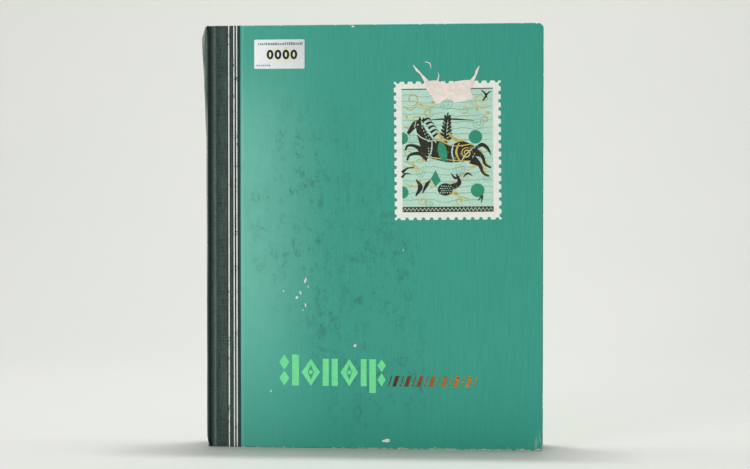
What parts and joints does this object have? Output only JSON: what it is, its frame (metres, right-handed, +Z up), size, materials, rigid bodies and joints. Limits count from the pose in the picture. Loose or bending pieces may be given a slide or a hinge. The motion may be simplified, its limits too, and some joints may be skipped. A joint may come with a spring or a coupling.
{
  "type": "stamp album",
  "caption": "Hardback stamp stock album standing on edge: quarter-cloth spine, two hinged covers and stiff pocket leaves that fan open with the front cover.",
  "frame": {"origin": "middle of the footprint on the surface the album stands on", "axes": "+Z up along the spine, +X from the spine to the fore-edge, -Y out of the front cover"},
  "size_m": [0.255, 0.033, 0.318],
  "materials": {
    "board": "bare grey-brown binder's board",
    "cover_paper": "teal printed cover paper with a soft sheen, rubbed",
    "cover_cloth": "dark green book cloth, fine weave",
    "pastedown": "ivory lining paper",
    "lot_label": "white sticker with plain grey marks",
    "spine_card": "flexible card",
    "spine_lining": "open lining cloth with glue",
    "stub_block": "stacked and glued card stubs",
    "end_bands": "rolled cloth",
    "leaf_card": "smooth cream stock card",
    "leaf_linen": "linen strip",
    "pocket_film": "clear film pockets",
    "glassine": "translucent glassine"
  },
  "bodies": {
    "binding": {"spine_cloth": "cover_cloth", "spine_card": "spine_card", "spine_lining": "spine_lining", "stub_block": "stub_block", "head_band": "end_bands", "tail_band": "end_bands"},
    "front_cover": {"front_board": "board", "front_cover_paper": "cover_paper", "front_cover_cloth": "cover_cloth", "front_pastedown": "pastedown", "lot_label": "lot_label"},
    "back_cover": {"back_board": "board", "back_cover_paper": "cover_paper", "back_cover_cloth": "cover_cloth", "back_pastedown": "pastedown"},
    "leaf_1": {"leaf_1_card": "leaf_card", "leaf_1_linen_hinge": "leaf_linen", "leaf_1_pockets_front": "pocket_film", "leaf_1_pockets_back": "pocket_film"},
    "leaf_2": {"leaf_2_card": "leaf_card", "leaf_2_linen_hinge": "leaf_linen", "leaf_2_pockets_front": "pocket_film", "leaf_2_pockets_back": "pocket_film", "interleaf_1": "glassine"},
    "leaf_3": {"leaf_3_card": "leaf_card", "leaf_3_linen_hinge": "leaf_linen", "leaf_3_pockets_front": "pocket_film", "leaf_3_pockets_back": "pocket_film", "interleaf_2": "glassine"},
    "leaf_4": {"leaf_4_card": "leaf_card", "leaf_4_linen_hinge": "leaf_linen", "leaf_4_pockets_front": "pocket_film", "leaf_4_pockets_back": "pocket_film", "interleaf_3": "glassine"},
    "leaf_5": {"leaf_5_card": "leaf_card", "leaf_5_linen_hinge": "leaf_linen", "leaf_5_pockets_front": "pocket_film", "leaf_5_pockets_back": "pocket_film", "interleaf_4": "glassine"},
    "leaf_6": {"leaf_6_card": "leaf_card", "leaf_6_linen_hinge": "leaf_linen", "leaf_6_pockets_front": "pocket_film", "leaf_6_pockets_back": "pocket_film", "interleaf_5": "glassine"},
    "leaf_7": {"leaf_7_card": "leaf_card", "leaf_7_linen_hinge": "leaf_linen", "leaf_7_pockets_front": "pocket_film", "leaf_7_pockets_back": "pocket_film", "interleaf_6": "glassine"},
    "leaf_8": {"leaf_8_card": "leaf_card", "leaf_8_linen_hinge": "leaf_linen", "leaf_8_pockets_front": "pocket_film", "leaf_8_pockets_back": "pocket_film", "interleaf_7": "glassine"}
  },
  "joints": [
    {"name": "front_cover_hinge", "type": "hinge", "parent": "binding", "child": "front_cover", "pos_m": [-0.1222, -0.01615, 0], "axis": [0, 0, -1], "range_deg": [0, 180]},
    {"name": "back_cover_hinge", "type": "hinge", "parent": "binding", "child": "back_cover", "pos_m": [-0.1222, 0.01665, 0], "axis": [0, 0, 1], "range_deg": [0, 180]},
    {"name": "leaf_1_hinge", "type": "hinge", "parent": "binding", "child": "leaf_1", "pos_m": [-0.11662, -0.00985, 0], "axis": [0, 0, -1], "range_deg": [0, 90]},
    {"name": "leaf_2_hinge", "type": "hinge", "parent": "binding", "child": "leaf_2", "pos_m": [-0.11662, -0.00685, 0], "axis": [0, 0, -1], "range_deg": [0, 78.75]},
    {"name": "leaf_3_hinge", "type": "hinge", "parent": "binding", "child": "leaf_3", "pos_m": [-0.11662, -0.00385, 0], "axis": [0, 0, -1], "range_deg": [0, 67.5]},
    {"name": "leaf_4_hinge", "type": "hinge", "parent": "binding", "child": "leaf_4", "pos_m": [-0.11662, -0.00085, 0], "axis": [0, 0, -1], "range_deg": [0, 56.25]},
    {"name": "leaf_5_hinge", "type": "hinge", "parent": "binding", "child": "leaf_5", "pos_m": [-0.11662, 0.00215, 0], "axis": [0, 0, -1], "range_deg": [0, 45]},
    {"name": "leaf_6_hinge", "type": "hinge", "parent": "binding", "child": "leaf_6", "pos_m": [-0.11662, 0.00515, 0], "axis": [0, 0, -1], "range_deg": [0, 33.75]},
    {"name": "leaf_7_hinge", "type": "hinge", "parent": "binding", "child": "leaf_7", "pos_m": [-0.11662, 0.00815, 0], "axis": [0, 0, -1], "range_deg": [0, 22.5]},
    {"name": "leaf_8_hinge", "type": "hinge", "parent": "binding", "child": "leaf_8", "pos_m": [-0.11662, 0.01115, 0], "axis": [0, 0, -1], "range_deg": [0, 11.25]}
  ],
  "couplings": [
    {"joint": "leaf_1_hinge", "follows": "front_cover_hinge", "ratio": 0.5},
    {"joint": "leaf_2_hinge", "follows": "front_cover_hinge", "ratio": 0.4375},
    {"joint": "leaf_3_hinge", "follows": "front_cover_hinge", "ratio": 0.375},
    {"joint": "leaf_4_hinge", "follows": "front_cover_hinge", "ratio": 0.3125},
    {"joint": "leaf_5_hinge", "follows": "front_cover_hinge", "ratio": 0.25},
    {"joint": "leaf_6_hinge", "follows": "front_cover_hinge", "ratio": 0.1875},
    {"joint": "leaf_7_hinge", "follows": "front_cover_hinge", "ratio": 0.125},
    {"joint": "leaf_8_hinge", "follows": "front_cover_hinge", "ratio": 0.0625}
  ]
}
